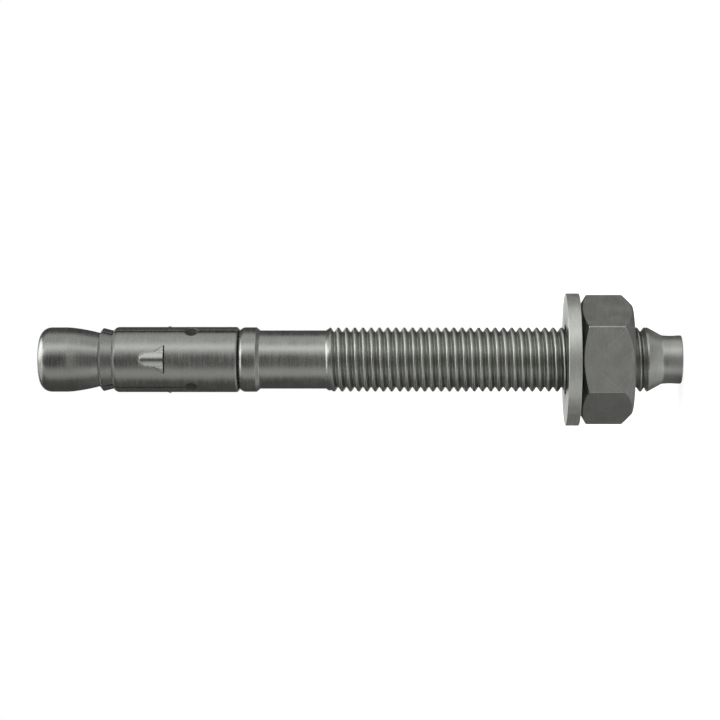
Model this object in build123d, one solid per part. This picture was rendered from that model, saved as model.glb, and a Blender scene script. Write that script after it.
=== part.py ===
from build123d import *
import os
from math import hypot, radians, sqrt, tan

# Wedge anchor (through-bolt type), millimetres.
# Every piece is first made round the anchor's own axis, which runs along +X from the cone end, with the
# front as +Z. At the end all pieces are stood up together on the flat end of the driving pin, with the cone
# on top and the front towards -Y. The anchor would roll on its round rims if it were laid down.
# The rolled thread is drawn as a plain cylinder over its crests, as on a shop drawing.

# Cone: the rounded end, a short cylindrical land and the long slightly bulged taper down to the neck
cone_diameter = 9.8
cone_end_round = 1.8
cone_land_length = 2.7
cone_taper_length = 6.5
cone_bulge_radius = 29.0

# Neck that carries the clip, and the collar behind it
neck_diameter = 7.0
neck_length = 19.5
collar_diameter = 9.8
collar_lead_length = 0.8
collar_lead_drop = 0.3
collar_land_length = 1.7
collar_chamfer_length = 0.55

# Plain shank, rolled thread and driving pin
shank_diameter = 8.85
shank_length = 9.95
thread_crest_diameter = 9.73
thread_length = 48.5
thread_lead_length = 0.65
tip_chamfer_length = 2.2
pin_diameter = 7.3
pin_length = 2.95
pin_edge_break = 0.2

# Expansion clip: a rolled sheet round the neck, with a lip that rides on the cone
clip_outer_diameter = 9.9
clip_running_gap = 0.05
clip_end_gap = 0.2
clip_overlap_on_cone = 1.71
clip_nose_radius = 0.9
clip_tail_edge_break = 0.4
lip_length = 2.0
lip_rim_diameter = 9.6
lip_rim_setback = 0.41
lip_groove_diameter = 8.8
slit_width = 0.5
slit_angles = (60.0, 180.0, 300.0)
seam_angle = 60.0
seam_width = 0.8
relief_hole_length = 1.9
relief_hole_width = 2.3
relief_hole_to_tail = 7.03

# Anti-rotation lugs, pressed outwards from the clip's sheet and sheared along their tail edge
lug_angles = (0.0, 120.0, 240.0)
lug_length = 4.1
lug_tail_to_clip_tail = 11.06
lug_stagger = 0.65
lug_height = 0.7
lug_nose_radius = 1.35
lug_tail_radius = 1.62
lug_wing_length = 1.5
lug_wing_width = 4.2
lug_wing_root_width = 2.2
lug_wing_height = 0.2
lug_shear_gap = 0.28
lug_pocket_radius = 0.9
lug_pocket_depth = 0.5
lug_pocket_length = 3.35

# Washer and nut
washer_rim_beyond_nut_corners = 0.185
washer_bore_gap = 0.385
washer_thickness = 2.0
nut_across_flats = 17.0
nut_height = 8.0
nut_bore_gap = 0.085
nut_countersink_diameter = 10.9
nut_countersink_depth = 0.25
nut_seat_diameter = 15.75
nut_seat_chamfer_angle = 30.0
nut_crown_chamfer = 1.6
nut_crown_chamfer_angle = 45.0
thread_beyond_nut = 2.3

# Stations along the axis, from the cone end
cone_radius = cone_diameter / 2
neck_radius = neck_diameter / 2
collar_radius = collar_diameter / 2
shank_radius = shank_diameter / 2
crest_radius = thread_crest_diameter / 2
pin_radius = pin_diameter / 2
taper_start = cone_end_round + cone_land_length
neck_start = taper_start + cone_taper_length
collar_start = neck_start + neck_length
collar_land_start = collar_start + collar_lead_length
collar_land_end = collar_land_start + collar_land_length
shank_start = collar_land_end + collar_chamfer_length
thread_start = shank_start + shank_length
thread_end = thread_start + thread_length
pin_start = thread_end + tip_chamfer_length
bolt_length = pin_start + pin_length
clip_start = neck_start - clip_overlap_on_cone
clip_end = collar_start - clip_end_gap
clip_radius = clip_outer_diameter / 2
corner_radius = nut_across_flats / sqrt(3)
nut_end = thread_end - thread_beyond_nut
nut_start = nut_end - nut_height
washer_start = nut_start - washer_thickness


def ring_solid(outline):
    """Turn an outline of (station, radius) curves round the anchor's axis."""
    return revolve(Plane.XZ * make_face(outline), Axis.X)


def cone_curve_centre():
    """Centre of the arc that bulges the taper, on the far side of the axis."""
    run, drop = cone_taper_length, cone_radius - neck_radius
    half_chord = hypot(run, drop) / 2
    reach = sqrt(cone_bulge_radius**2 - half_chord**2)
    middle = (taper_start + run / 2, neck_radius + drop / 2)
    return (middle[0] - reach * drop / (2 * half_chord), middle[1] - reach * run / (2 * half_chord))


def cone_radius_at(station, grown=0.0):
    """Radius of the taper's curve at a station, grown outwards by a gap."""
    centre = cone_curve_centre()
    return centre[1] + sqrt((cone_bulge_radius + grown) ** 2 - (station - centre[0]) ** 2)


def make_cone_bolt():
    """The turned and rolled bolt, with the thread as a plain cylinder over its crests."""
    taper_middle = taper_start + cone_taper_length / 2
    end_face_radius = cone_radius - cone_end_round
    outline = [
        Line((0, 0), (0, end_face_radius)),
        Spline([(0, end_face_radius), (cone_end_round, cone_radius)], tangents=[(0, 1), (1, 0)]),
        Line((cone_end_round, cone_radius), (taper_start, cone_radius)),
        ThreePointArc(
            (taper_start, cone_radius),
            (taper_middle, cone_radius_at(taper_middle)),
            (neck_start, neck_radius),
        ),
        Polyline(
            (neck_start, neck_radius),
            (collar_start, neck_radius),
            (collar_start, collar_radius - collar_lead_drop),
            (collar_land_start, collar_radius),
            (collar_land_end, collar_radius),
            (shank_start, shank_radius),
            (thread_start, shank_radius),
            (thread_start + thread_lead_length, crest_radius),
            (thread_end, crest_radius),
            (pin_start, pin_radius),
            (bolt_length - pin_edge_break, pin_radius),
            (bolt_length, pin_radius - pin_edge_break),
            (bolt_length, 0),
            (0, 0),
        ),
    ]
    return ring_solid(outline)


def radial_box(angle, start, end, width):
    """A slot through the clip's wall at an angle about the axis, measured from +Z towards +Y."""
    slot = Box(end - start, width, clip_outer_diameter, align=(Align.MIN, Align.CENTER, Align.MIN))
    return Rot(X=-angle) * Pos(X=start) * slot


def make_clip_blank():
    """The rolled sheet with its lip, before it is slit."""
    bore_radius = neck_radius + clip_running_gap
    taper_middle = (clip_start + neck_start) / 2
    rim = (clip_start + lip_rim_setback, lip_rim_diameter / 2)
    groove = (clip_start + lip_length, lip_groove_diameter / 2)
    nose_rise = clip_radius - groove[1]
    nose_end = (groove[0] + sqrt(nose_rise * (2 * clip_nose_radius - nose_rise)), clip_radius)
    outline = [
        ThreePointArc(
            (neck_start, bore_radius),
            (taper_middle, cone_radius_at(taper_middle, clip_running_gap)),
            (clip_start, cone_radius_at(clip_start, clip_running_gap)),
        ),
        Polyline((clip_start, cone_radius_at(clip_start, clip_running_gap)), rim, groove),
        RadiusArc(groove, nose_end, clip_nose_radius),
        Polyline(
            nose_end,
            (clip_end - clip_tail_edge_break, clip_radius),
            (clip_end, clip_radius - clip_tail_edge_break),
            (clip_end, bore_radius),
            (neck_start, bore_radius),
        ),
    ]
    return ring_solid(outline)


def make_lug(tail):
    """The raised lug of one finger at +Z: a round-nosed bullet with sheared wings beside its tail."""
    nose_start = tail - lug_length
    nose_centre = nose_start + lug_nose_radius
    bullet = ring_solid(
        [
            CenterArc((nose_centre, 0), lug_nose_radius, start_angle=90, arc_size=90),
            Polyline((nose_start, 0), (tail, 0), (tail, lug_tail_radius), (nose_centre, lug_nose_radius)),
        ]
    )
    ridge_height = clip_radius + lug_height
    wing_start = tail - lug_wing_length
    half_start, half_end = lug_wing_root_width / 2, lug_wing_width / 2
    plan = Polyline(
        (wing_start, half_start), (tail, half_end), (tail, -half_end), (wing_start, -half_start), close=True
    )
    wing_top = Rot(Y=90) * Cylinder(clip_radius + lug_wing_height, 2 * tail)
    wings = extrude(make_face(plan), clip_outer_diameter) & wing_top
    hollow = Rot(Y=90) * Cylinder(clip_radius - lug_pocket_depth, 2 * tail)
    return (Pos(Z=ridge_height - lug_tail_radius) * bullet + wings) - hollow


def make_lug_pocket(tail):
    """The round-bottomed hollow that the lug's metal was pressed out of, on the inside of the sheet."""
    bottom = neck_radius + clip_running_gap + lug_pocket_depth
    pocket = Cylinder(lug_pocket_radius, lug_pocket_length, align=(Align.CENTER, Align.CENTER, Align.MAX))
    return Pos(X=tail, Z=bottom - lug_pocket_radius) * Rot(Y=90) * pocket


def make_expansion_clip():
    """The blank with its lugs pressed out, its fingers slit and its seam left open."""
    clip = make_clip_blank()
    for number, angle in enumerate(lug_angles):
        tail = clip_end - lug_tail_to_clip_tail + (lug_stagger if number else 0)
        clip += Rot(X=-angle) * make_lug(tail)
        clip -= Rot(X=-angle) * make_lug_pocket(tail)
        clip -= radial_box(angle, tail, tail + lug_shear_gap, lug_wing_width)
    hole_station = clip_end - relief_hole_to_tail
    hole = extrude(SlotOverall(relief_hole_width, relief_hole_length, rotation=90), clip_outer_diameter)
    for angle in slit_angles:
        clip -= radial_box(angle, clip_start - lip_length, hole_station, slit_width)
        clip -= Rot(X=-angle) * Pos(X=hole_station) * hole
    return clip - radial_box(seam_angle, hole_station, clip_end + lip_length, seam_width)


def make_washer():
    """Flat washer whose rim reaches a little past the nut's corners."""
    bore_radius = crest_radius + washer_bore_gap
    outer_radius = corner_radius + washer_rim_beyond_nut_corners
    outline = Polyline(
        (washer_start, bore_radius),
        (washer_start, outer_radius),
        (nut_start, outer_radius),
        (nut_start, bore_radius),
        close=True,
    )
    return ring_solid(outline)


def make_hex_nut():
    """Hexagon nut with one flat up, chamfered more steeply on its seat than on its crown."""
    seat_rise = (corner_radius - nut_seat_diameter / 2) * tan(radians(nut_seat_chamfer_angle))
    crown_drop = nut_crown_chamfer * tan(radians(nut_crown_chamfer_angle))
    envelope = ring_solid(
        Polyline(
            (nut_start, 0),
            (nut_start, nut_seat_diameter / 2),
            (nut_start + seat_rise, corner_radius),
            (nut_end - nut_crown_chamfer, corner_radius),
            (nut_end, corner_radius - crown_drop),
            (nut_end, 0),
            close=True,
        )
    )
    outline = RegularPolygon(corner_radius, 6, major_radius=True, rotation=0)
    hexagon = extrude(Plane.YZ.offset(nut_start) * outline, nut_height)
    bore_radius = crest_radius + nut_bore_gap
    sink_radius = nut_countersink_diameter / 2
    bore = ring_solid(
        Polyline(
            (nut_start, 0),
            (nut_start, sink_radius),
            (nut_start + nut_countersink_depth, bore_radius),
            (nut_end - nut_countersink_depth, bore_radius),
            (nut_end, sink_radius),
            (nut_end, 0),
            close=True,
        )
    )
    return (hexagon & envelope) - bore


pieces = {
    "cone_bolt": make_cone_bolt(),
    "expansion_clip": make_expansion_clip(),
    "washer": make_washer(),
    "hex_nut": make_hex_nut(),
}
place = Pos(Z=bolt_length) * Rot(Z=-90) * Rot(Y=90)
os.makedirs("parts", exist_ok=True)
for name, piece in pieces.items():
    export_step(place * piece, f"parts/{name}.step")
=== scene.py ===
import math
from collections import namedtuple

import bpy
import numpy as np
from mathutils import Matrix, Vector
from mathutils.geometry import delaunay_2d_cdt


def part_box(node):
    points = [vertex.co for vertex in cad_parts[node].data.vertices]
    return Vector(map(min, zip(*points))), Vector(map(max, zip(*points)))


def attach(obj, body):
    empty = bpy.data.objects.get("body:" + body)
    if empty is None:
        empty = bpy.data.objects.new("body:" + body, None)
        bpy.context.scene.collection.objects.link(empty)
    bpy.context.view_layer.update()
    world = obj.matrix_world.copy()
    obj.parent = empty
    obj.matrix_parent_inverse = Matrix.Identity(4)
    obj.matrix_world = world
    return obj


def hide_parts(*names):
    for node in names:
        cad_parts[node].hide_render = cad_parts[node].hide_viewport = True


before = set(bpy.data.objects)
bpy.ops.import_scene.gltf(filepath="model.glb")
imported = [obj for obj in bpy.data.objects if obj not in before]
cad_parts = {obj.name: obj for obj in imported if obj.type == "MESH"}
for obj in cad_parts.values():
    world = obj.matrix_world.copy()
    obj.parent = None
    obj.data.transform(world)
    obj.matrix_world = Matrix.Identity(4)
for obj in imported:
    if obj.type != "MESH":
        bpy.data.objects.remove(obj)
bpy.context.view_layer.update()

# The anchor stands on its driving pin. All shapes below are made in the anchor's own axes, in millimetres:
# x runs along the anchor from the cone end to the pin, y to the right seen from the front, z to the front.
MM_IN_METRE = 1000
MM = 1 / MM_IN_METRE
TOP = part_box("cone_bolt")[1].z * MM_IN_METRE
TURN = 2 * math.pi

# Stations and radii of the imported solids
CONE_R, END_ROUND, TAPER_START = 4.9, 1.8, 4.5
NECK_START, NECK_R, TAPER_BULGE = 11.0, 3.5, 29.0
COLLAR_START, COLLAR_LAND, COLLAR_END, COLLAR_R = 30.5, 31.3, 33.0, 4.9
SHANK_START, SHANK_R = 33.55, 4.425
THREAD_START, THREAD_END, CREST_R = 43.5, 92.0, 4.865
PIN_START, PIN_END, PIN_R = 94.2, 97.15, 3.65
CLIP_START, CLIP_END, CLIP_TAIL_ROUND, CLIP_R = 9.29, 30.3, 0.4, 4.95
RUNNING_GAP = 0.05  # between the cone or neck and the clip
WASHER_START, WASHER_R, WASHER_BORE_R = 79.7, 10.0, 5.25
NUT_START, NUT_END = 81.7, 89.7

# Painted shade: the tone that darkens bores and other hidden places.
HIDDEN_TONE = 0.4  # of bores and other hidden places, against 1 in the open


def to_world(points):
    """Anchor axes in millimetres to the shared frame in metres."""
    p = np.asarray(points, float)
    return np.stack([p[..., 1], -p[..., 2], TOP - p[..., 0]], -1) * MM


def normal_to_world(normals):
    """Directions in the anchor's axes to the shared frame."""
    n = np.asarray(normals, float)
    return np.stack([n[..., 1], -n[..., 2], -n[..., 0]], -1)


def unit(vectors):
    """The rows at length one."""
    return vectors / np.maximum(np.linalg.norm(vectors, axis=1, keepdims=True), 1e-9)


def read_curve(at, curve):
    """The values of a curve of (place, value) points, straight between them."""
    return np.interp(at, [place for place, _ in curve], [value for _, value in curve])


def add_to_scene(name, data):
    """A new object, linked into the scene."""
    made = bpy.data.objects.new(name, data)
    bpy.context.scene.collection.objects.link(made)
    return made


def make_object(name, surface, body, node, weld=False):
    """A smooth shaded piece from a surface in the anchor's axes: points, faces and vertex normals."""
    points, faces, normals = surface
    points, normals = to_world(points), normal_to_world(normals)
    if weld:
        points, faces, normals = welded(points, faces, normals)
    mesh = bpy.data.meshes.new(name)
    mesh.from_pydata(points.tolist(), [], faces)
    mesh.update()
    for polygon in mesh.polygons:
        polygon.use_smooth = True
    mesh.normals_split_custom_set_from_vertices(unit(normals).tolist())
    piece = add_to_scene(name, mesh)
    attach(piece, body)
    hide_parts(node)
    return piece


def welded(points, faces, normals):
    """A surface in metres without double points, and without the faces that have no area then."""
    same_place = 2e-7
    points = points.astype(np.float32)
    keys = np.round(points / same_place).astype(np.int64)
    _, kept, number = np.unique(keys, axis=0, return_index=True, return_inverse=True)
    number = number.reshape(-1)
    total = np.zeros((len(kept), 3))
    np.add.at(total, number, normals)
    whole = []
    for face in faces:
        ring = [int(number[v]) for v in face]
        ring = [v for k, v in enumerate(ring) if v != ring[k - 1]]
        if len(set(ring)) >= 3:
            whole.append(ring)
    return points[kept], whole, total


def set_tone(piece, tone):
    """How bright the bare steel is at each vertex: 1 in the open, less in cuts and hidden places as painted
    shade, more as painted highlight where the lamps light it too dimly.
    """
    values = piece.data.attributes.new("tone", "FLOAT", "POINT")
    values.data.foreach_set("value", np.asarray(tone, np.float32))


def vertex_rows(piece, what):
    """Places ("co") or normals ("normal") of a piece's vertices, one row each."""
    values = np.zeros(len(piece.data.vertices) * 3, np.float32)
    piece.data.vertices.foreach_get(what, values)
    return values.reshape(-1, 3)


def stations_and_radii(piece):
    """The vertices' stations and radii in the anchor's axes, in millimetres."""
    co = vertex_rows(piece, "co") / MM
    return TOP - co[:, 2], np.hypot(co[:, 0], co[:, 1])


# ---- outlines of turned pieces

# The angle between the points of a fillet's arc
BOLT_STEP, CLIP_STEP, WASHER_STEP = math.radians(11), math.radians(15), math.radians(20)
FILLET_SHARE = 0.49  # the most that one fillet takes of a side


def left_normal(d):
    """The normal on the left of a direction in the plane."""
    return np.array([-d[1], d[0]])


def rounded_outline(corners, step):
    """Points and left normals along an outline of corners (x, r, fillet), with its arcs.

    A corner without a fillet stays one point with the mean normal of its two sides.
    """
    places = [np.array(corner[:2], float) for corner in corners]
    first, last = places[1] - places[0], places[-1] - places[-2]
    points, normals = [places[0]], [left_normal(first / np.linalg.norm(first))]
    for before, corner, after, (_, _, fillet) in zip(places, places[1:], places[2:], corners[1:]):
        arc, arc_normals = rounded_corner(before, corner, after, fillet, step)
        points += arc
        normals += arc_normals
    points.append(places[-1])
    normals.append(left_normal(last / np.linalg.norm(last)))
    return np.array(points), np.array(normals)


def rounded_corner(before, corner, after, fillet, step):
    """Points and left normals of one corner of an outline."""
    a, b = before - corner, after - corner
    length_a, length_b = np.linalg.norm(a), np.linalg.norm(b)
    a, b = a / length_a, b / length_b
    n0, n1 = left_normal(-a), left_normal(b)
    if not fillet:
        n = n0 + n1
        return [corner], [n / np.linalg.norm(n)]
    turn = math.acos(float(np.clip(n0 @ n1, -1, 1)))
    reach = min(fillet * math.tan(turn / 2), FILLET_SHARE * length_a, FILLET_SHARE * length_b)
    radius = reach / math.tan(turn / 2)
    sign = 1.0 if (n0[0] * n1[1] - n0[1] * n1[0]) < 0 else -1.0
    centre = corner + a * reach - sign * n0 * radius
    count = max(2, math.ceil(turn / step) + 1)
    start = math.atan2(n0[1], n0[0])
    angles = [start - sign * turn * k / (count - 1) for k in range(count)]
    normals = [np.array([math.cos(angle), math.sin(angle)]) for angle in angles]
    return [centre + sign * radius * n for n in normals], normals


def arc_corners(start, end, radius, count):
    """Inner points of an arc from start to end that bulges away from the axis."""
    (x0, r0), (x1, r1) = start, end
    half = math.hypot(x1 - x0, r1 - r0) / 2
    reach = math.sqrt(radius**2 - half**2)
    ux, ur = (x1 - x0) / (2 * half), (r1 - r0) / (2 * half)
    cx, cr = (x0 + x1) / 2 + ur * reach, (r0 + r1) / 2 - ux * reach
    a0, a1 = math.atan2(r0 - cr, x0 - cx), math.atan2(r1 - cr, x1 - cx)
    angles = [a0 + (a1 - a0) * k / (count + 1) for k in range(1, count + 1)]
    return [(cx + radius * math.cos(a), cr + radius * math.sin(a), 0) for a in angles]


def taper_arc(count):
    """Inner points of the cone's bulging taper, between its land and the neck."""
    return arc_corners((TAPER_START, CONE_R), (NECK_START, NECK_R), TAPER_BULGE, count)


def quads_between(first, second, count):
    """Faces between two rings of count vertices, facing outwards for rings that follow +x."""
    pairs = [(k, (k + 1) % count) for k in range(count)]
    return [(first + k, first + m, second + m, second + k) for k, m in pairs]


class Rings:
    """A surface built ring by ring, with one normal a vertex.

    The columns stand at the angles phi, counted from +y towards +z.
    """

    def __init__(self, phi):
        self.phi, self.count = phi, len(phi)
        self.points, self.normals, self.faces, self.total = [], [], [], 0
        self.previous = self.open_pole = None

    def keep(self, points, normals):
        """Stores vertices and returns the number of the first."""
        start = self.total
        self.points.append(points)
        self.normals.append(normals)
        self.total += len(points)
        return start

    def add(self, points, normals):
        """One more ring, joined to the ring or the pole before it."""
        start = self.keep(points, normals)
        if self.previous is not None:
            self.faces += quads_between(self.previous, start, self.count)
        elif self.open_pole is not None:
            pole = self.open_pole
            self.faces += [(start + (k + 1) % self.count, start + k, pole) for k in range(self.count)]
        self.previous = start

    def pole(self, x, nx):
        """The point where the surface meets the axis."""
        start = self.keep(np.array([[x, 0.0, 0.0]]), np.array([[nx, 0.0, 0.0]]))
        if self.previous is None:
            self.open_pole = start
        else:
            p = self.previous
            self.faces += [(p + k, p + (k + 1) % self.count, start) for k in range(self.count)]

    def turn(self, corners, step, first, last):
        """Rings along a rounded outline, from its point first up to, but without, last."""
        points, normals = rounded_outline(corners, step)
        ones, cos, sin = np.ones(self.count), np.cos(self.phi), np.sin(self.phi)
        for (x, r), (nx, nr) in zip(points[first:last], normals[first:last]):
            ring = np.stack([x * ones, r * cos, r * sin], -1)
            self.add(ring, np.stack([nx * ones, nr * cos, nr * sin], -1))

    def helix(self, points, normals, lead):
        """Rows of a helix: across the seam, each row meets the one that is lead rows further on."""
        start, last = self.total, len(points) - 1
        for row_points, row_normals in zip(points, normals):
            self.keep(row_points, row_normals)
        self.faces += quads_between(self.previous, start, self.count)
        for row in range(last):
            base = start + row * self.count
            self.faces += quads_between(base, base + self.count, self.count)[:-1]
            ahead = start + min(row + lead, last) * self.count
            ahead_next = start + min(row + lead + 1, last) * self.count
            self.faces.append((base + self.count - 1, ahead, ahead_next, base + 2 * self.count - 1))
        self.previous = start + last * self.count

    def close(self):
        """Joins the last ring to the first."""
        self.faces += quads_between(self.previous, 0, self.count)

    def surface(self):
        """The points, faces and normals."""
        return np.vstack(self.points), self.faces, np.vstack(self.normals)


# ---- the bolt

BOLT_COLUMNS = 128
TAPER_POINTS = 7
LAND_FILLET, NECK_FILLET, NECK_END_FILLET = 6.0, 1.0, 0.2
# The collar starts with a rounded lead and a crowned rise to its land
LEAD_R, LEAD_FILLET = 4.55, 0.12
RISE_LENGTH, RISE_R, RISE_FILLET = 0.45, 4.83, 0.3
LAND_LEAD, COLLAR_FILLET, COLLAR_END_FILLET, SHANK_FILLET = 0.1, 0.8, 0.22, 0.25
# The pin is a little waisted between its root and its rim
TIP_LAND, TIP_FILLET = 0.02, 0.3
PIN_ROOT_SWELL, PIN_ROOT_FILLET = 0.02, 0.9
PIN_WAIST_AT, PIN_WAIST, PIN_WAIST_FILLET = 1.2, 0.05, 6.0
PIN_RIM, PIN_RIM_FILLET, PIN_END_FILLET = 0.45, 3.0, 0.2

CONE_TO_THREAD = [
    (0, 0, 0),
    (0, CONE_R, END_ROUND),
    (TAPER_START, CONE_R, LAND_FILLET),
    *taper_arc(TAPER_POINTS),
    (NECK_START, NECK_R, NECK_FILLET),
    (COLLAR_START, NECK_R, NECK_END_FILLET),
    (COLLAR_START, LEAD_R, LEAD_FILLET),
    (COLLAR_START + RISE_LENGTH, RISE_R, RISE_FILLET),
    (COLLAR_LAND - LAND_LEAD, COLLAR_R, COLLAR_FILLET),
    (COLLAR_END, COLLAR_R, COLLAR_END_FILLET),
    (SHANK_START, SHANK_R, SHANK_FILLET),
    (THREAD_START, SHANK_R, 0),
]
THREAD_TO_PIN = [
    (THREAD_END, CREST_R, 0),
    (THREAD_END + TIP_LAND, CREST_R, TIP_FILLET),
    (PIN_START, PIN_R + PIN_ROOT_SWELL, PIN_ROOT_FILLET),
    (PIN_START + PIN_WAIST_AT, PIN_R - PIN_WAIST, PIN_WAIST_FILLET),
    (PIN_END - PIN_RIM, PIN_R, PIN_RIM_FILLET),
    (PIN_END, PIN_R, PIN_END_FILLET),
    (PIN_END, 0, 0),
]

THREAD_PITCH, THREAD_DEPTH = 1.25, 0.665
THREAD_CREST_AT = 45.36  # a crest's station at the anchor's right-hand side, where phi is 0
THREAD_FLANK = math.radians(31)
CREST_HALF = 0.14
# Rounds of crest and root, as (share of its half width, height above the root from 0 to 1)
CREST_ROUND = [(0.0, 1.0), (0.55, 0.985), (1.0, 0.93), (1.5, 0.83)]
ROOT_ROUND = [(-0.5, 0.20), (0.0, 0.09), (0.45, 0.02)]
# Lengths at the thread's two ends: the skin's rise to the crests, and where the grooves fade
SKIN_RISE = 0.65
START_PLAIN, START_FADE = 0.35, 0.85
END_PLAIN, END_FADE = 0.02, 0.5
TURNS_BEFORE, TURNS_AFTER = 2, 1  # spare turns, which the ends clamp away

# Tones by station, by radius in the grooves, and by a flank's lean towards the pin. They are painted light
# and shade: lighter on the tip cone, the pin, the thread's roots and crests and the flanks that face the
# cone end, darker on the flanks that face the pin.
BOLT_TONES = [
    (0, 0.92), (NECK_START, 0.95), (COLLAR_START, 1.04), (THREAD_START, 1.06), (THREAD_END, 1.06),
    (THREAD_END + 0.1, 1.55), (PIN_START, 1.5), (PIN_START + 0.1, 1.24),
]
ROOT_R = CREST_R - THREAD_DEPTH
THREAD_TONES = [(ROOT_R, 1.2), (ROOT_R + 0.2, 1.0), (CREST_R - 0.1, 1.12)]
FLANK_TONES = [(-0.5, 1.45), (-0.2, 1.0), (0.2, 1.0), (0.5, 0.72)]
THREAD_TONE_AFTER = 0.8
HIDDEN_BEYOND, HIDDEN_RISE, FACE_REACH = 0.3, 0.9, 0.03


def thread_profile():
    """One pitch of the rolled thread as (share of the pitch, height above the root from 0 to 1)."""
    crest_half = CREST_HALF / THREAD_PITCH
    without_flank = THREAD_PITCH / 2 - THREAD_DEPTH * math.tan(THREAD_FLANK)
    root_half = without_flank / THREAD_PITCH - crest_half
    foot = 0.5 - root_half
    half = [(share * crest_half, height) for share, height in CREST_ROUND]
    half += [(foot + share * root_half, height) for share, height in ROOT_ROUND]
    half.append((0.5, 0.0))
    return half + [(1 - share, height) for share, height in half[-2:0:-1]]


def thread_sheet(phi):
    """Stations and radii of the helical sheet between shank and tip, its grooves fading at both ends."""
    first = int((THREAD_START - THREAD_CREST_AT) / THREAD_PITCH) - TURNS_BEFORE
    last = int((THREAD_END - THREAD_CREST_AT) / THREAD_PITCH) + TURNS_AFTER
    lines = [(k + share, height) for k in range(first, last + 1) for share, height in thread_profile()]
    stations = np.array([share for share, _ in lines])[:, None] * THREAD_PITCH + THREAD_CREST_AT
    height = np.array([height for _, height in lines])[:, None]
    x = stations + THREAD_PITCH * phi[None, :] / TURN
    x = np.clip(x, THREAD_START, THREAD_END)
    skin = read_curve(x, [(THREAD_START, SHANK_R), (THREAD_START + SKIN_RISE, CREST_R)])
    begin = np.clip((x - THREAD_START - START_PLAIN) / START_FADE, 0, 1)
    finish = np.clip((THREAD_END - END_PLAIN - x) / END_FADE, 0, 1)
    fade = begin**2 * (3 - 2 * begin) * finish**2 * (3 - 2 * finish)
    return x, skin - THREAD_DEPTH * (1 - height) * fade


def grid_normals(points, lead):
    """Outward normals of a helical grid (rows along x, columns round the axis), from its own slopes."""
    along = np.gradient(points, axis=0)
    rows = np.arange(len(points))
    behind = points[np.maximum(rows - lead, 0), -1:]
    ahead = points[np.minimum(rows + lead, rows[-1]), :1]
    wrapped = np.concatenate([behind, points, ahead], axis=1)
    across = (wrapped[:, 2:] - wrapped[:, :-2]) / 2
    return np.cross(across, along)


def add_thread(rings):
    """The helical part: its clamped ends all lie on the rings at the thread's start and end."""
    x, r = thread_sheet(rings.phi)
    cos, sin = np.cos(rings.phi), np.sin(rings.phi)
    grid = np.stack([x, r * cos, r * sin], -1)
    lead = len(thread_profile())
    clamped = (x <= THREAD_START) | (x >= THREAD_END)
    radial = np.stack([0 * x, 0 * x + cos, 0 * x + sin], -1)
    rings.helix(grid, np.where(clamped[..., None], radial, grid_normals(grid, lead)), lead)


def bolt_tone(bolt):
    x, r = stations_and_radii(bolt)
    groove = read_curve(r, THREAD_TONES) * read_curve(-vertex_rows(bolt, "normal")[:, 2], FLANK_TONES)
    threaded = (x > THREAD_START + THREAD_TONE_AFTER) & (x < THREAD_END)
    # Painted shade: the neck under the clip and the collar's face get the hidden tone; elsewhere the tones
    # paint light and shade by station and in the thread.
    along_clip = (x > CLIP_START + HIDDEN_BEYOND) & (x < CLIP_END + HIDDEN_BEYOND)
    under_clip = along_clip & (r < NECK_R + HIDDEN_RISE)
    collar_face = (np.abs(x - COLLAR_START) < FACE_REACH) & (r < LEAD_R)
    open_tone = np.where(threaded, groove, read_curve(x, BOLT_TONES))
    return np.where(under_clip | collar_face, HIDDEN_TONE, open_tone)


def make_bolt():
    rings = Rings(np.arange(BOLT_COLUMNS) * TURN / BOLT_COLUMNS)
    rings.pole(0, -1)
    rings.turn(CONE_TO_THREAD, BOLT_STEP, 1, None)
    add_thread(rings)
    rings.turn(THREAD_TO_PIN, BOLT_STEP, 1, -1)
    rings.pole(PIN_END, 1)
    bolt = make_object("bolt_looks", rings.surface(), "bolt", "cone_bolt", weld=True)
    set_tone(bolt, bolt_tone(bolt))
    return bolt


# ---- washer and nut

WASHER_COLUMNS = 192
WASHER_BORE_FILLET, WASHER_FRONT_FILLET, WASHER_NUT_FILLET = 0.12, 0.16, 0.1
# Painted shade towards the bore and a painted highlight on the rim.
WASHER_TONES = [(WASHER_BORE_R, 0.5), (WASHER_BORE_R + 0.2, 0.8), (WASHER_R - 0.2, 0.8), (WASHER_R, 1.75)]

NUT_ACROSS, NUT_CORNER_ROUND = 17.0, 0.3
NUT_FLAT_STEPS, NUT_CORNER_STEPS = 17, 4
NUT_BORE_R, NUT_SINK_R, NUT_SINK = 4.95, 5.45, 0.25
SEAT_R, SEAT_CHAMFER = 7.875, math.radians(30)  # the flat face's radius, and its chamfer's slope
CROWN_R, CROWN_CHAMFER = 8.215, math.radians(45)
NUT_EDGE = 0.09  # half the width of the band that breaks each edge
# Painted shade in the bore, at the hidden tone; the rest of the nut is a little lighter all over.
NUT_TONES = [(NUT_BORE_R, HIDDEN_TONE), (NUT_SINK_R + 0.2, 1.15)]


def make_washer():
    rings = Rings(np.arange(WASHER_COLUMNS) * TURN / WASHER_COLUMNS)
    middle = (WASHER_START + NUT_START) / 2
    corners = [
        (middle, WASHER_BORE_R, 0),
        (WASHER_START, WASHER_BORE_R, WASHER_BORE_FILLET),
        (WASHER_START, WASHER_R, WASHER_FRONT_FILLET),
        (NUT_START, WASHER_R, WASHER_NUT_FILLET),
        (NUT_START, WASHER_BORE_R, WASHER_BORE_FILLET),
        (middle, WASHER_BORE_R, 0),
    ]
    rings.turn(corners, WASHER_STEP, 0, -1)
    rings.close()
    washer = make_object("washer_looks", rings.surface(), "washer", "washer")
    _, r = stations_and_radii(washer)
    set_tone(washer, read_curve(r, WASHER_TONES))
    return washer


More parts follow.
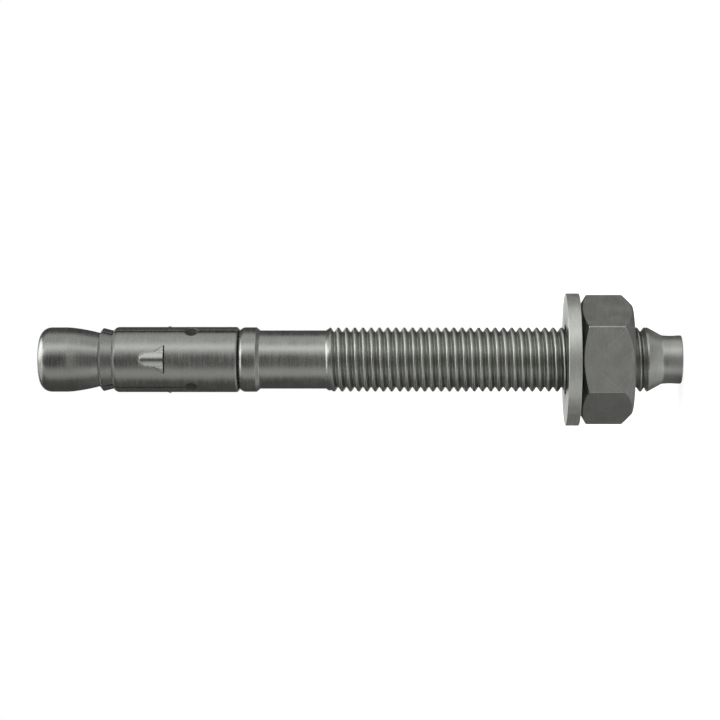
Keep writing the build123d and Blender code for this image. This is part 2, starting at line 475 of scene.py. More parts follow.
def hexagon_columns():
    """Points and outward normals round the nut's hexagon with its rounded corners, a flat facing +z."""
    half = NUT_ACROSS / 2
    half_side = NUT_ACROSS / math.sqrt(3) / 2 - NUT_CORNER_ROUND * math.tan(math.radians(30))
    points, normals = [], []
    for k in range(6):
        middle = math.radians(30 + 60 * k)
        n = np.array([math.cos(middle), math.sin(middle)])
        t = left_normal(n)
        for s in np.linspace(-half_side, half_side, NUT_FLAT_STEPS):
            points.append(n * half + t * s)
            normals.append(n)
        centre = n * (half - NUT_CORNER_ROUND) + t * half_side
        for m in range(1, NUT_CORNER_STEPS):
            angle = middle + math.radians(60) * m / NUT_CORNER_STEPS
            d = np.array([math.cos(angle), math.sin(angle)])
            points.append(centre + d * NUT_CORNER_ROUND)
            normals.append(d)
    return np.array(points), np.array(normals)


def nut_end(column, flat_normal, face_r, slope):
    """Rings of one end of the nut, from its bore over the face and its chamfer to the flats.

    Each is (depth under the face, points, how far the normal leans out of the face, its radial part).
    """
    radius = np.linalg.norm(column, axis=1)
    out = column / radius[:, None]
    cos, sin, half_turn = math.cos(slope), math.sin(slope), math.sqrt(0.5)
    chamfer = (radius - face_r) * math.tan(slope)
    return [
        (NUT_SINK + NUT_EDGE, out * NUT_BORE_R, 0, -out),
        (NUT_SINK - NUT_EDGE / 2, out * (NUT_BORE_R + NUT_EDGE), half_turn, -out * half_turn),
        (NUT_EDGE / 2, out * (NUT_SINK_R - NUT_EDGE), half_turn, -out * half_turn),
        (0, out * (NUT_SINK_R + NUT_EDGE), 1, 0 * out),
        (0, out * (face_r - NUT_EDGE), 1, 0 * out),
        (NUT_EDGE * sin, out * (face_r + NUT_EDGE * cos), cos, out * sin),
        (chamfer - NUT_EDGE * sin, out * (radius - NUT_EDGE * cos)[:, None], cos, out * sin),
        (chamfer + NUT_EDGE, column, 0, flat_normal),
    ]


def make_nut():
    column, flat_normal = hexagon_columns()
    ones = np.ones(len(column))
    rings = Rings(np.arctan2(column[:, 1], column[:, 0]))

    def ring(x, at, lean, radial):
        x = x * ones
        normals = np.concatenate([(lean * ones)[:, None], radial], axis=1)
        rings.add(np.concatenate([x[:, None], at], axis=1), normals)

    seat = nut_end(column, flat_normal, SEAT_R, SEAT_CHAMFER)
    crown = nut_end(column, flat_normal, CROWN_R, CROWN_CHAMFER)
    _, bore, _, inward = seat[0]
    ring((NUT_START + NUT_END) / 2, bore, 0, inward)
    for depth, at, lean, radial in seat:
        ring(NUT_START + depth, at, -lean, radial)
    seat_x, crown_x = NUT_START + seat[-1][0], NUT_END - crown[-1][0]
    for share in (0.25, 0.5, 0.75):
        ring(seat_x + (crown_x - seat_x) * share, column, 0, flat_normal)
    for depth, at, lean, radial in reversed(crown):
        ring(NUT_END - depth, at, lean, radial)
    rings.close()
    nut = make_object("nut_looks", rings.surface(), "nut", "hex_nut")
    _, r = stations_and_radii(nut)
    set_tone(nut, read_curve(r, NUT_TONES))
    return nut


# ---- the expansion clip
# The clip is a rolled sheet, so it is laid out flat as (u, x): u runs round the outside at CLIP_R, starting
# in the middle of the open seam, and x is the anchor's own station. Then it is rolled up.

SEAM_PHI = math.radians(30)
SHEET_WIDTH = CLIP_R * TURN
EDGE = 0.05  # the width of the narrow slope along every edge of the sheet

# The section: the lip's face and crest, the groove behind it, and the shoulder up to CLIP_R
LIP_FACE = 0.2
LIP_CREST_X, LIP_CREST_R, LIP_CREST_ROUND = 9.70, 4.80, 0.13
GROOVE_X, GROOVE_R, GROOVE_ROUND = 11.29, 4.40, 0.06
GROOVE_EXIT = (0.04, 0.08)  # the way the section leaves the groove, along and outwards
SHOULDER_ROUND, SHOULDER_STEPS, TAIL_STEPS = 0.9, 8, 6
FLARE_POINTS, CONE_POINTS = 25, 24
PLAIN_START = 12.0  # the section is plain from here

# The slits from the front edge, the seam that carries one of them on to the tail, and the relief holes
SLITS = 3
SLIT_HALF, SEAM_HALF = 0.25, 0.4
HOLE_X, HOLE_R, HOLE_SHIFT, HOLE_STEP = 23.27, 0.95, 0.2, math.radians(8)

# Lugs: degrees round the clip from the seam and the station of the tail, as places on the sheet
LUGS = [(CLIP_R * math.radians(a), tail) for a, tail in ((60, 19.24), (180, 19.89), (300, 19.89))]
LUG_LENGTH, LUG_NOSE, LUG_NOSE_HEIGHT, LUG_HEIGHT = 3.7, 0.95, 0.38, 0.58
LUG_SLOPE, LUG_RIDGE = 0.72, 0.85
WING_LENGTH, WING_ROOT, WING_END, WING_LIFT = 1.5, 1.1, 2.1, 0.2
SHEAR_GAP, SIDE_GAP, SLOT_LEAD, SLOT_CORNER = 0.12, 0.1, 0.02, 0.04
TAIL_REACH = 1e-3  # points this far past a tail still belong to the lug

# Mesh spacings
FRONT_SPACING, SIDE_SPACING, SLOT_SPACING, FINE_SPACING = 0.3, 0.5, 0.15, 0.1
ROWS_FROM, ROW_SPACING, COLUMNS = 12.2, 0.45, 96
FINE_AHEAD, FINE_HALF, FINE_MARGIN, FINE_BEHIND = 4.2, 2.0, 0.1, 0.3
BORDER_CLEAR = 0.07
NEARBY, ON_ROUND, ONE_PLACE = 0.01, 1e-4, 1e-6  # what counts as one station or point
SLOPE_STEP = 0.012

# Tones by run or place across a lug, by height, station and lean. They paint a highlight on the lugs'
# flanks and shade along their ridges, where the clip leans to the cone end and in the cuts; the lip is
# darker.
LUG_HALF_WIDTHS = [(0, 0.4), (0.75, 0.9), (2.0, 1.15), (LUG_LENGTH, 1.35)]
RAISED = [(0.03, 0.0), (0.1, 1.0)]
LUG_TONES = [(-0.7, 0.6), (-0.3, 0.15), (0.1, -0.1), (0.4, 0.5), (0.8, 1.3)]
WING_TONE = 0.1
LIP_TONES = [(11.2, 0.85), (12.3, 1.0)]
LEAN_TONES = [(0.25, 1.0), (0.6, 0.6)]
# Tones of the cut walls: lighter at the front edge, painted shade in the cuts.
FRONT_TONES, CUT_TONES = (1.2, 1.1), (0.6, 0.45)  # of an edge's outer and inner side


def cone_radius_at(station):
    """The bolt's cone and neck at a station."""
    curve = [(TAPER_START, CONE_R)]
    curve += [(x, r) for x, r, _ in taper_arc(CONE_POINTS)]
    curve.append((NECK_START, NECK_R))
    return float(read_curve(station, curve))


def clip_outer_curve():
    """The outside of the clip's section, as points of station and radius."""
    along, outwards = GROOVE_EXIT
    lip = [
        (CLIP_START, cone_radius_at(CLIP_START) + RUNNING_GAP + LIP_FACE, 0),
        (LIP_CREST_X, LIP_CREST_R, LIP_CREST_ROUND),
        (GROOVE_X, GROOVE_R, GROOVE_ROUND),
        (GROOVE_X + along, GROOVE_R + outwards, 0),
    ]
    points = rounded_outline(lip, CLIP_STEP)[0][:-1].tolist()
    start = math.acos(1 - (CLIP_R - GROOVE_R) / SHOULDER_ROUND)
    shoulder_end = GROOVE_X + SHOULDER_ROUND * math.sin(start)
    for angle in np.linspace(start, 0, SHOULDER_STEPS + 1)[1:]:
        drop = SHOULDER_ROUND * (1 - math.cos(angle))
        points.append([shoulder_end - SHOULDER_ROUND * math.sin(angle), CLIP_R - drop])
    for angle in np.linspace(0, math.pi / 2, TAIL_STEPS + 1):
        back, drop = CLIP_TAIL_ROUND * (1 - math.sin(angle)), CLIP_TAIL_ROUND * (1 - math.cos(angle))
        points.append([CLIP_END - back, CLIP_R - drop])
    return points


CLIP_CURVE = clip_outer_curve()
CURVE_STATIONS = [x for x, _ in CLIP_CURVE]


def lug_height(x, v, tail):
    """Height of a lug and its wings above the sheet, at a station and an offset v round the clip."""
    run = x - (tail - LUG_LENGTH)
    nose = LUG_NOSE_HEIGHT * np.sqrt(np.clip(1 - (1 - run / LUG_NOSE) ** 2, 0, 1))
    rise = (LUG_HEIGHT - LUG_NOSE_HEIGHT) * (run - LUG_NOSE) / (LUG_LENGTH - LUG_NOSE)
    ridge = np.where(run < LUG_NOSE, nose, LUG_NOSE_HEIGHT + rise)
    roof = ridge - LUG_SLOPE * (np.sqrt(v**2 + LUG_RIDGE**2) - LUG_RIDGE)
    share = np.clip((x - tail + WING_LENGTH) / WING_LENGTH, 0, 1)
    half = WING_ROOT + (WING_END - WING_ROOT) * share
    wing = np.where(np.abs(v) < half, WING_LIFT * share, 0.0)
    height = np.maximum(np.maximum(roof, 0), wing)
    return np.where((run < 0) | (x > tail + TAIL_REACH), 0.0, height)


def lug_tone(u, x):
    """A factor for the tone: painted highlight on the lugs' flanks and painted shade along their ridges,
    fading out towards the nose.
    """
    tone = np.ones_like(u)
    for middle, tail in LUGS:
        v, run = u - middle, x - tail + LUG_LENGTH
        raised = read_curve(lug_height(x, v, tail), RAISED)
        nose_fade = np.clip(run / LUG_NOSE, 0, 1)
        half_width = read_curve(np.clip(run, 0, LUG_LENGTH), LUG_HALF_WIDTHS)
        wing = np.where(np.abs(v) > half_width, WING_TONE, 1.0)
        tone += raised * nose_fade * read_curve(v, LUG_TONES) * wing
    return tone


def outer_radius(u, x):
    r = read_curve(x, CLIP_CURVE)
    for middle, tail in LUGS:
        r = r + lug_height(x, u - middle, tail)
    return r


def inner_radius(x):
    stations = np.linspace(CLIP_START, NECK_START, FLARE_POINTS)
    return read_curve(x, [(a, cone_radius_at(a) + RUNNING_GAP) for a in stations])


def rolled(u, x, r):
    """Points of the flat sheet rolled up at a radius."""
    phi = SEAM_PHI + u / CLIP_R
    return np.stack([x, r * np.cos(phi), r * np.sin(phi)], -1)


def subdivided(points, spacing):
    """A chain of points with extra ones so that no step is longer than the spacing."""
    out = [points[0]]
    for (u0, x0), (u1, x1) in zip(points, points[1:]):
        steps = max(1, math.ceil(math.dist((u0, x0), (u1, x1)) / spacing))
        out += [(u0 + (u1 - u0) * k / steps, x0 + (x1 - x0) * k / steps) for k in range(1, steps + 1)]
    return out


def hole_arc(u, first, last):
    """Points round the oval relief hole at u, from one slit or seam edge to the other."""

    def angle(point):
        shift = math.copysign(HOLE_SHIFT, point[0] - u)
        return math.atan2(point[1] - HOLE_X, point[0] - u - shift)

    start, stop = angle(first), angle(last)
    if stop > start:
        stop -= TURN
    arc = []
    for a in np.linspace(start, stop, int((start - stop) / HOLE_STEP) + 1):
        shift = math.copysign(HOLE_SHIFT, math.cos(a))
        arc.append((u + shift + HOLE_R * math.cos(a), HOLE_X + HOLE_R * math.sin(a)))
    return arc


def hole_reach(half):
    """How far a hole reaches along the anchor where a cut's edge meets it."""
    return math.sqrt(HOLE_R**2 - (half - HOLE_SHIFT) ** 2)


def side(u, rows):
    """Points along a slit or the seam."""
    return subdivided([(u, a) for a in rows], SIDE_SPACING)


def end(u0, u1, x):
    """Points along the front or the tail."""
    return subdivided([(u0, x), (u1, x)], FRONT_SPACING)


def sheet_outline():
    """The flat sheet's edge with the metal on its left: front edge, two keyhole slits, seam and tail.

    Each stretch ends where the next one starts, so its last point is left out.
    """
    w = SHEET_WIDTH
    low, high = HOLE_X - hole_reach(SLIT_HALF), HOLE_X + hole_reach(SEAM_HALF)
    front_rows = [a for a in CURVE_STATIONS if CLIP_START + EDGE + NEARBY < a < PLAIN_START]
    rise = [CLIP_START] + front_rows + [PLAIN_START, low]
    round_start, round_end = CLIP_END - CLIP_TAIL_ROUND - ON_ROUND, CLIP_END - EDGE - NEARBY
    tail = [high] + [a for a in CURVE_STATIONS if round_start <= a < round_end] + [CLIP_END]
    stretches = []
    for k in range(1, SLITS):
        u, before = w * k / SLITS, w * (k - 1) / SLITS
        stretches += [
            end(before + SLIT_HALF, u - SLIT_HALF, CLIP_START),
            side(u - SLIT_HALF, rise),
            hole_arc(u, (u - SLIT_HALF, low), (u + SLIT_HALF, low)),
            side(u + SLIT_HALF, rise[::-1]),
        ]
    stretches += [
        end(u + SLIT_HALF, w - SLIT_HALF, CLIP_START),
        side(w - SLIT_HALF, rise),
        hole_arc(w, (w - SLIT_HALF, low), (w - SEAM_HALF, high)),
        side(w - SEAM_HALF, tail),
        end(w - SEAM_HALF, SEAM_HALF, CLIP_END),
        side(SEAM_HALF, tail[::-1]),
        hole_arc(0, (SEAM_HALF, high), (SLIT_HALF, low)),
        side(SLIT_HALF, rise[::-1]),
    ]
    return [point for stretch in stretches for point in stretch[:-1]]


def lug_slot(u, tail):
    """The sheared cut round a lug's tail and wings, with the metal on its left."""
    root, far = tail - WING_LENGTH, WING_END + SIDE_GAP
    inner = [(u - WING_ROOT, root), (u - WING_END, tail), (u + WING_END, tail), (u + WING_ROOT, root)]
    half = [(WING_ROOT, root), (far, tail + SLOT_LEAD), (far - SLOT_CORNER, tail + SHEAR_GAP)]
    outer = [(u + v, x) for v, x in half] + [(u - v, x) for v, x in reversed(half)]
    return (subdivided(inner, SLOT_SPACING)[:-1] + subdivided(outer, SLOT_SPACING)[:-1])[::-1]


def inset(loop, distance):
    """The loop moved to its left by a distance, and its left normals. Sharp corners move less."""
    sharp, least_cosine, most_reach = 0.35, 0.3, 1.6
    p = np.array(loop)
    d = unit(np.roll(p, -1, 0) - p)
    n = np.stack([-d[:, 1], d[:, 0]], -1)
    mean = n + np.roll(n, 1, 0)
    size = np.linalg.norm(mean, axis=1, keepdims=True)
    mean = np.where(size > sharp, mean / np.maximum(size, 1e-6), n)
    cosine = np.maximum((mean * n).sum(1, keepdims=True), least_cosine)
    return p + mean * distance * np.clip(1 / cosine, 1, most_reach), mean


def sides(loops):
    """The two ends of every side of closed loops."""
    return [ends for loop in loops for ends in zip(loop, np.roll(loop, -1, 0))]


def inside_loops(points, loops):
    """Even-odd test of points against closed loops."""
    inside = np.zeros(len(points), bool)
    x, y = points[:, 0], points[:, 1]
    for (x0, y0), (x1, y1) in sides(loops):
        if y0 != y1:
            inside ^= ((y0 > y) != (y1 > y)) & (x < (x1 - x0) * (y - y0) / (y1 - y0) + x0)
    return inside


def distance_to_loops(points, loops):
    """How far points are from the nearest of the loops."""
    best = np.full(len(points), np.inf)
    for p, q in sides(loops):
        d = q - p
        t = np.clip(((points - p) @ d) / (d @ d), 0, 1)
        best = np.minimum(best, np.linalg.norm(points - (p + t[:, None] * d), axis=1))
    return best


def sheet_points(borders):
    """Inner points of the flat sheet: rows at the section's own stations, finer over the lugs."""
    rows = [a for a in CURVE_STATIONS if CLIP_START < a < CLIP_END]
    rows += list(np.arange(ROWS_FROM, CLIP_END - CLIP_TAIL_ROUND, ROW_SPACING))
    columns = np.linspace(0, SHEET_WIDTH, COLUMNS + 1)[1:-1]
    coarse = np.array([(u, x) for x in rows for u in columns])
    across = np.arange(-FINE_HALF, FINE_HALF + FINE_SPACING / 10, FINE_SPACING)
    fine = []
    for u, tail in LUGS:
        beside = np.abs(coarse[:, 0] - u) < FINE_HALF + FINE_MARGIN
        along = (coarse[:, 1] > tail - FINE_AHEAD - FINE_MARGIN) & (coarse[:, 1] < tail + FINE_BEHIND)
        coarse = coarse[~(beside & along)]
        fine += [(u + v, x) for x in np.arange(tail - FINE_AHEAD, tail, FINE_SPACING) for v in across]
    points = np.vstack([coarse, np.array(fine)])
    points = points[inside_loops(points, borders)]
    return points[distance_to_loops(points, borders) > BORDER_CLEAR]


def sheet_triangles(borders):
    """The flat sheet inside its borders: points, triangles, and the new number of each border point."""
    coords = [tuple(p) for border in borders for p in border]
    edges, start = [], 0
    for border in borders:
        edges += [(start + k, start + (k + 1) % len(border)) for k in range(len(border))]
        start += len(border)
    coords += [tuple(p) for p in sheet_points(borders)]
    made = delaunay_2d_cdt([Vector(c) for c in coords], edges, [], 0, ONE_PLACE)
    flat, _, triangles, origin, _, _ = made
    flat = np.array([tuple(v) for v in flat])
    triangles = np.array([list(t) for t in triangles])
    triangles = triangles[inside_loops(flat[triangles].mean(axis=1), borders)]
    number = {old: new for new, olds in enumerate(origin) for old in olds}
    return flat, triangles, number


def outside_normals(u, x):
    """Outward normals of the rolled sheet, from its own slopes, and its radial directions."""

    def slope(du, dx):
        ahead = rolled(u + du, x + dx, outer_radius(u + du, x + dx))
        behind = rolled(u - du, x - dx, outer_radius(u - du, x - dx))
        return ahead - behind

    n = np.cross(slope(SLOPE_STEP, 0), slope(0, SLOPE_STEP))
    radial = rolled(u, 0 * x, np.ones_like(u))
    return n * np.sign((n * radial).sum(1, keepdims=True)), radial


def skin_tone(u, x, normals):
    """Tones of the clip's outside: darker on the lip, painted shade where it leans to the cone end, and the
    lugs' painted highlight and shade.
    """
    lean = -unit(normals)[:, 0]
    return read_curve(x, LIP_TONES) * read_curve(lean, LEAN_TONES) * lug_tone(u, x)


def cut_wall(loop, border, left):
    """The two rows of points across a cut, with their normals and tones: painted shade in the cuts, lighter
    at the front edge.

    The wall's top follows the metal beside it, so its height is read on the border a little inside.
    """
    p = np.array(loop)
    u, x = p[:, 0], p[:, 1]
    top = rolled(u, x, outer_radius(border[:, 0], border[:, 1]) - EDGE)
    low = rolled(u, x, inner_radius(x) + EDGE)
    phi = SEAM_PHI + u / CLIP_R
    normals = np.stack([-left[:, 1], left[:, 0] * np.sin(phi), -left[:, 0] * np.cos(phi)], -1)
    front = x < CLIP_START + NEARBY
    tones = [np.where(front, at_front, in_cut) for at_front, in_cut in zip(FRONT_TONES, CUT_TONES)]
    return [top, low], [normals, normals], tones


def wall_faces(outer, inner, base):
    """Faces from the sheet's outside over the two rows of a wall to its inside."""
    count = len(outer)
    chains = [outer, range(base, base + count), range(base + count, base + 2 * count), inner]
    faces = []
    for k in range(count):
        m = (k + 1) % count
        faces += [(b[k], b[m], a[m], a[k]) for a, b in zip(chains, chains[1:])]
    return faces


def make_clip():
    loops = [sheet_outline()] + [lug_slot(u, tail) for u, tail in LUGS]
    insets = [inset(loop, EDGE) for loop in loops]
    flat, triangles, number = sheet_triangles([border for border, _ in insets])
    u, x = flat[:, 0], flat[:, 1]
    outward, radial = outside_normals(u, x)
    points = [rolled(u, x, outer_radius(u, x)), rolled(u, x, inner_radius(x))]
    normals = [outward, -radial]
    # The inside is painted shade, at the hidden tone.
    tones = [skin_tone(u, x, outward), np.full(len(u), HIDDEN_TONE)]
    total = len(flat)
    faces = [tuple(t) for t in triangles] + [tuple(total + t[::-1]) for t in triangles]
    base, start = 2 * total, 0
    for loop, (border, left) in zip(loops, insets):
        wall_points, wall_normals, wall_tones = cut_wall(loop, border, left)
        points += wall_points
        normals += wall_normals
        tones += wall_tones
        outer = [number[start + k] for k in range(len(loop))]
        faces += wall_faces(outer, [total + k for k in outer], base)
        base += 2 * len(loop)
        start += len(loop)
    surface = np.vstack(points), faces, np.vstack(normals)
    clip = make_object("clip_looks", surface, "clip", "expansion_clip")
    set_tone(clip, np.concatenate(tones))
    return clip


bolt = make_bolt()
washer = make_washer()
nut = make_nut()
clip = make_clip()

# ---- camera

AIM = (48.65, -0.07, 0.0)
EYE = (59.24, 0.0, 355.0)
FOCAL_PIXELS, PHOTO_PIXELS = 2341.9, 720  # focal length and photo width in pixels
SENSOR = 36
NEAR, FAR = 0.01, 20


def make_camera():
    """A camera before the anchor, near level, rolled so that the anchor's right is up in the picture."""
    camera = add_to_scene("camera", bpy.data.cameras.new("camera"))
    bpy.context.scene.camera = camera
    camera.data.lens = FOCAL_PIXELS / PHOTO_PIXELS * SENSOR
    camera.data.sensor_width = SENSOR
    camera.data.sensor_fit = "HORIZONTAL"
    camera.data.clip_start = NEAR
    camera.data.clip_end = FAR
    eye, aim = Vector(to_world(EYE)), Vector(to_world(AIM))
    back = (eye - aim).normalized()
    right = Vector(normal_to_world((0, 1, 0))).cross(back).normalized()
    axes = Matrix((right, back.cross(right), back)).transposed()
    camera.matrix_world = Matrix.Translation(eye) @ axes.to_4x4()


make_camera()

# ---- node helpers


class Graph:
    """A node tree with short calls. Inputs are given by name, or as i and their number."""

    def __init__(self, owner):
        owner.use_nodes = True
        self.tree = owner.node_tree
        self.tree.nodes.clear()

    def node(self, kind, settings=None, **inputs):
        """Makes a node and returns it."""
        made = self.tree.nodes.new(kind)
        for key, value in (settings or {}).items():
            setattr(made, key, value)
        for key, value in inputs.items():
            socket = made.inputs[int(key[1:]) if key[1:].isdigit() else key.replace("_", " ")]
            if isinstance(value, bpy.types.NodeSocket):
                self.tree.links.new(value, socket)
            else:
                socket.default_value = value
        return made

    def out(self, kind, output=0, settings=None, **inputs):
        """One output of a new node."""
        return self.node(kind, settings, **inputs).outputs[output]

    def math(self, operation, a, b=0.0, c=0.0):
        return self.out("ShaderNodeMath", 0, {"operation": operation}, i0=a, i1=b, i2=c)

    def dot(self, a, b):
        return self.out("ShaderNodeVectorMath", "Value", {"operation": "DOT_PRODUCT"}, i0=a, i1=b)

    def stretch(self, vector, factors):
        return self.out("ShaderNodeVectorMath", "Vector", {"operation": "MULTIPLY"}, i0=vector, i1=factors)

    def ramp(self, value, low, high, to_low=0.0, to_high=1.0, smooth=True):
        """The value between low and high as one between to_low and to_high, and flat beyond."""
        kind = {"interpolation_type": "SMOOTHSTEP" if smooth else "LINEAR", "clamp": True}
        return self.out("ShaderNodeMapRange", 0, kind, i0=value, i1=low, i2=high, i3=to_low, i4=to_high)

    def noise(self, vector, scale, detail, roughness, distortion=0.0):
        inputs = {"Scale": scale, "Detail": detail, "Roughness": roughness, "Distortion": distortion}
        return self.out("ShaderNodeTexNoise", Vector=vector, **inputs)

    def grey(self, value):
        return self.out("ShaderNodeCombineColor", i0=value, i1=value, i2=value)

    def mix(self, factor, a, b, blend="MIX"):
        kind = {"data_type": "RGBA", "blend_type": blend}
        return self.out("ShaderNodeMix", 2, kind, i0=factor, i6=a, i7=b)

    def bump(self, height, distance, **inputs):
        return self.out("ShaderNodeBump", Strength=1.0, Distance=distance, Height=height, **inputs)


# ---- light

# Azimuth runs round the anchor: 0 faces the camera, 90 is the top of the picture. Elevation is above level.
# Sizes and shifts are tangents seen from the anchor. A shift moves a box along its width and height.
Softbox = namedtuple(
    "Softbox", "azimuth elevation half_width half_height edge strength shift", defaults=[(0, 0)]
)
SOFTBOXES = [
    Softbox(46, 12, 0.18, 1.6, 0.20, 0.66),  # tall key strip
    Softbox(29, 6, 0.14, 2.0, 0.22, 0.50),  # the key's inner edge
    Softbox(72, 10, 0.70, 1.8, 0.25, 0.53),  # white card beside the key
    Softbox(-51, 5, 0.37, 2.2, 0.25, 0.44),  # tall fill strip on the other side
    Softbox(0, -4, 0.50, 0.03, 0.07, 0.52),  # thin level strip just under the camera
    Softbox(0, 62, 0.50, 0.20, 0.20, 0.24),  # card high over the camera
    Softbox(0, -60, 0.50, 0.20, 0.20, 0.12),  # card far under the camera
    Softbox(180, 0, 0.20, 1.2, 0.08, 1.0),  # strip of the white backdrop
    Softbox(0, 90, 0.36, 0.45, 0.10, 2.6, (0.34, 0.25)),  # overhead, to the picture's top and behind
    Softbox(0, 90, 0.33, 0.45, 0.10, 0.8, (-0.42, 0.25)),  # overhead, to the picture's bottom and behind
    Softbox(0, 90, 0.50, 0.08, 0.08, 1.8, (0.08, -0.37)),  # overhead, before the anchor
    Softbox(-80, -52, 0.9, 0.6, 0.3, 0.36),  # pale table, to the picture's bottom
    Softbox(60, -55, 0.8, 0.5, 0.3, 0.2),  # pale table, to the picture's top
]
ROOM = 0.125  # the light from everywhere else
LEAST_DEPTH, FULL_DEPTH = 0.02, 0.1  # how squarely a direction must face a box, as a cosine


def around(azimuth, elevation):
    """World direction at an azimuth round the anchor and an elevation, in degrees."""
    a, e = math.radians(azimuth), math.radians(elevation)
    return Vector((math.sin(a) * math.cos(e), -math.cos(a) * math.cos(e), math.sin(e)))


def softbox_light(g, direction, box):
    """The light that one box sends along a direction."""
    centre = around(box.azimuth, box.elevation)
    across = around(box.azimuth + 90, 0)
    upward = across.cross(-centre)
    depth = g.dot(direction, centre)
    light = g.ramp(depth, LEAST_DEPTH, FULL_DEPTH, 0.0, box.strength)
    axes = ((across, box.half_width, box.shift[0]), (upward, box.half_height, box.shift[1]))
    for axis, half, shift in axes:
        offset = g.math("DIVIDE", g.dot(direction, axis), g.math("MAXIMUM", depth, LEAST_DEPTH))
        reach = g.math("ABSOLUTE", g.math("SUBTRACT", offset, shift))
        light = g.math("MULTIPLY", light, g.ramp(reach, half + box.edge, max(half - box.edge, 0.0)))
    return light


def make_world():
    """The studio: softboxes for the metal, and plain white where the camera looks past it."""
    world = bpy.data.worlds.new("studio")
    bpy.context.scene.world = world
    g = Graph(world)
    direction = g.out("ShaderNodeTexCoord", "Generated")
    total = ROOM
    for box in SOFTBOXES:
        total = g.math("ADD", softbox_light(g, direction, box), total)
    camera_ray = g.out("ShaderNodeLightPath", "Is Camera Ray")
    level = g.math("ADD", g.math("MULTIPLY", total, g.math("SUBTRACT", 1.0, camera_ray)), camera_ray)
    background = g.out("ShaderNodeBackground", Color=(1, 1, 1, 1), Strength=level)
    g.node("ShaderNodeOutputWorld", Surface=background)


TABLE_RADIUS, TABLE_SIDES, TABLE_DROP = 2.0, 64, 2e-5
TABLE_MOTTLE = (9.0, 3.0, 0.6)  # scale, detail and roughness
TABLE_GREY = (0.3, 0.7, 0.48, 0.52)  # from this range of the mottle to this range of grey
TABLE_GLOW = 0.82  # for the camera alone, up to white
TABLE_CLEAR = 0.8  # what share of it the metal sees through


def make_floor():
    """A table that is white to the camera. The metal mostly sees through it, to the boxes below."""
    mesh = bpy.data.meshes.new("floor")
    angles = np.arange(TABLE_SIDES) * TURN / TABLE_SIDES
    ring = [(TABLE_RADIUS * math.cos(a), TABLE_RADIUS * math.sin(a), -TABLE_DROP) for a in angles]
    mesh.from_pydata(ring, [], [tuple(range(TABLE_SIDES))])
    add_to_scene("floor", mesh)
    material = bpy.data.materials.new("table_white")
    g = Graph(material)
    paths = g.node("ShaderNodeLightPath").outputs
    mottle = g.noise(g.out("ShaderNodeTexCoord", "Object"), *TABLE_MOTTLE)
    paint = g.out("ShaderNodeBsdfDiffuse", Color=g.grey(g.ramp(mottle, *TABLE_GREY, False)))
    light = g.math("MULTIPLY", paths["Is Camera Ray"], TABLE_GLOW)
    lit = g.out("ShaderNodeAddShader", i0=paint, i1=g.out("ShaderNodeEmission", Strength=light))
    see_through = g.math("MULTIPLY", paths["Is Glossy Ray"], TABLE_CLEAR)
    clear = g.out("ShaderNodeBsdfTransparent")
    mixed = g.out("ShaderNodeMixShader", i0=see_through, i1=lit, i2=clear)
    g.node("ShaderNodeOutputMaterial", Surface=mixed)
    mesh.materials.append(material)


# ---- steel

STEEL = (0.391, 0.40, 0.374, 1)
# Painted shade: a dull dark grey that stands in for the shade in slits, bores and the clip's inside.
RECESS_SHADE_GREY = (0.23, 0.23, 0.22, 1)  # the dull grey of slits, bores and the clip's inside
EDGE_TINT = (0.75, 0.76, 0.75, 1)  # the reflection at a glancing angle
ANISOTROPY = 0.4

# Patterns in millimetres: the stretch along x, y and z, and the noise's scale, detail and roughness
Pattern = namedtuple("Pattern", "stretch noise")
STREAKS = Pattern((0.35, 0.35, 5.0), (1.0, 6.0, 0.62))
PATCHES = Pattern(None, (0.45, 3.0, 0.55))
GRAIN = Pattern((4, 4, 9), (1.0, 3.0, 0.6))
WAVES = Pattern((0.9, 0.9, 2.6), (1.0, 3.0, 0.6))

# What a pattern, or the tone, does: from this range of it to this range of shade, roughness or dullness
STREAK_SHADE, STREAK_ROUGHNESS = (0.3, 0.7, 0.90, 1.08), (0.3, 0.7, -0.05, 0.06)
PATCH_SHADE, PATCH_ROUGHNESS = (0.35, 0.65, 0.94, 1.05), (0.35, 0.65, -0.02, 0.03)
GRAIN_SHADE = (0.3, 0.7, 0.95, 1.05)
TONE_DULLNESS, TONE_ROUGHNESS = (0.8, 0.45), (1.05, 1.4, 0.0, 0.12)
DULL_METALLIC, DULL_ROUGHNESS = -0.85, 0.4  # what full dullness adds

# Scratches: their directions, how wide the pattern is round the axis, and its noise
SCRATCH_ANGLES = (0.95, 2.2)
SCRATCH_RADIUS = CREST_R * 1.5
SCRATCH_STRETCH, SCRATCH_NOISE = (0.09, 5, 1), (1.0, 1.0, 0.4, 0.1)
SCRATCH_STEP = 3.0  # between the noise of one direction and the next
SCRATCH_RANGE = (0.64, 0.74)

# Depths of the lines and waves in millimetres, and how much brighter a scratch is
Finish = namedtuple("Finish", "roughness lines waves scratches")
FINISHES = {
    "bolt_steel": Finish(0.24, 0.004, 0.006, 0.1),
    "clip_steel": Finish(0.26, 0.005, 0.014, 0.1),
    "washer_steel": Finish(0.28, 0.004, 0.006, 0.12),
    "nut_steel": Finish(0.36, 0.003, 0.006, 0.2),
}


def draw_pattern(g, in_mm, pattern):
    place = g.stretch(in_mm, pattern.stretch) if pattern.stretch else in_mm
    return g.noise(place, *pattern.noise)


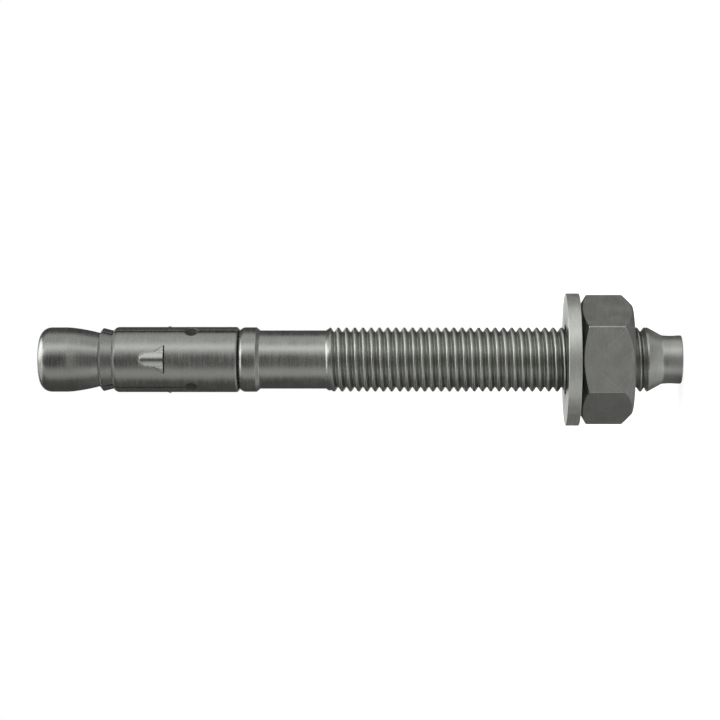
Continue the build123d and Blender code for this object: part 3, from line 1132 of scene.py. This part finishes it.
def scratches(g, in_mm):
    """Sparse fine scratches that run in two directions over the surface round the axis, as a mask."""
    x, y, z = g.node("ShaderNodeSeparateXYZ", Vector=in_mm).outputs
    angle = g.math("ARCTAN2", x, g.math("MULTIPLY", y, -1.0))
    round_it = g.math("MULTIPLY", angle, SCRATCH_RADIUS)
    marks = 0.0
    for number, direction in enumerate(SCRATCH_ANGLES):
        cos, sin = math.cos(direction), math.sin(direction)
        along = g.math("MULTIPLY_ADD", round_it, cos, g.math("MULTIPLY", z, sin))
        over = g.math("MULTIPLY_ADD", round_it, -sin, g.math("MULTIPLY", z, cos))
        place = g.out("ShaderNodeCombineXYZ", X=along, Y=over, Z=SCRATCH_STEP * number)
        streaks = g.noise(g.stretch(place, SCRATCH_STRETCH), *SCRATCH_NOISE)
        marks = g.math("MAXIMUM", marks, g.ramp(streaks, *SCRATCH_RANGE))
    return marks


def steel_colour(g, in_mm, streaks, patches, tone, dull, scratch_depth):
    """The bare steel's colour with its patterns, scratches and the tones' painted light and shade, and a
    painted shade grey where it is dull.
    """
    grain = draw_pattern(g, in_mm, GRAIN)
    shade = g.ramp(streaks, *STREAK_SHADE, False)
    shade = g.math("MULTIPLY", shade, g.ramp(patches, *PATCH_SHADE, False))
    shade = g.math("MULTIPLY", shade, g.ramp(grain, *GRAIN_SHADE, False))
    shade = g.math("MULTIPLY", shade, tone)
    marks = g.math("MULTIPLY_ADD", scratches(g, in_mm), scratch_depth, 1.0)
    bare = g.mix(1.0, STEEL, g.grey(g.math("MULTIPLY", shade, marks)), "MULTIPLY")
    return g.mix(dull, bare, RECESS_SHADE_GREY)


def steel_roughness(g, streaks, patches, tone, dull, roughness):
    rough = g.math("ADD", g.ramp(streaks, *STREAK_ROUGHNESS, False), roughness)
    rough = g.math("ADD", rough, g.ramp(patches, *PATCH_ROUGHNESS, False))
    rough = g.math("ADD", rough, g.ramp(tone, *TONE_ROUGHNESS))
    return g.math("MULTIPLY_ADD", dull, DULL_ROUGHNESS, rough)


def steel(name, finish):
    """Turned or drawn steel: fine lines round the axis, faint waves, scratches and a mottled grey."""
    material = bpy.data.materials.new(name)
    g = Graph(material)
    in_mm = g.stretch(g.out("ShaderNodeTexCoord", "Object"), (MM_IN_METRE,) * 3)
    streaks, patches = draw_pattern(g, in_mm, STREAKS), draw_pattern(g, in_mm, PATCHES)
    # The tone attribute carries each piece's painted light and shade into its colour, roughness and
    # dullness.
    tone = g.out("ShaderNodeAttribute", "Fac", {"attribute_name": "tone"})
    dull = g.ramp(tone, *TONE_DULLNESS)
    lines = g.bump(streaks, finish.lines * MM)
    shader = g.out(
        "ShaderNodeBsdfPrincipled",
        Base_Color=steel_colour(g, in_mm, streaks, patches, tone, dull, finish.scratches),
        Metallic=g.math("MULTIPLY_ADD", dull, DULL_METALLIC, 1.0),
        Roughness=steel_roughness(g, streaks, patches, tone, dull, finish.roughness),
        Specular_Tint=EDGE_TINT,
        Anisotropic=ANISOTROPY,
        Tangent=g.out("ShaderNodeTangent", 0, {"direction_type": "RADIAL", "axis": "Z"}),
        Normal=g.bump(draw_pattern(g, in_mm, WAVES), finish.waves * MM, Normal=lines),
    )
    g.node("ShaderNodeOutputMaterial", Surface=shader)
    return material


bpy.context.scene.view_settings.view_transform = "Standard"
make_world()
make_floor()
for piece, (name, finish) in zip((bolt, clip, washer, nut), FINISHES.items()):
    piece.data.materials.append(steel(name, finish))
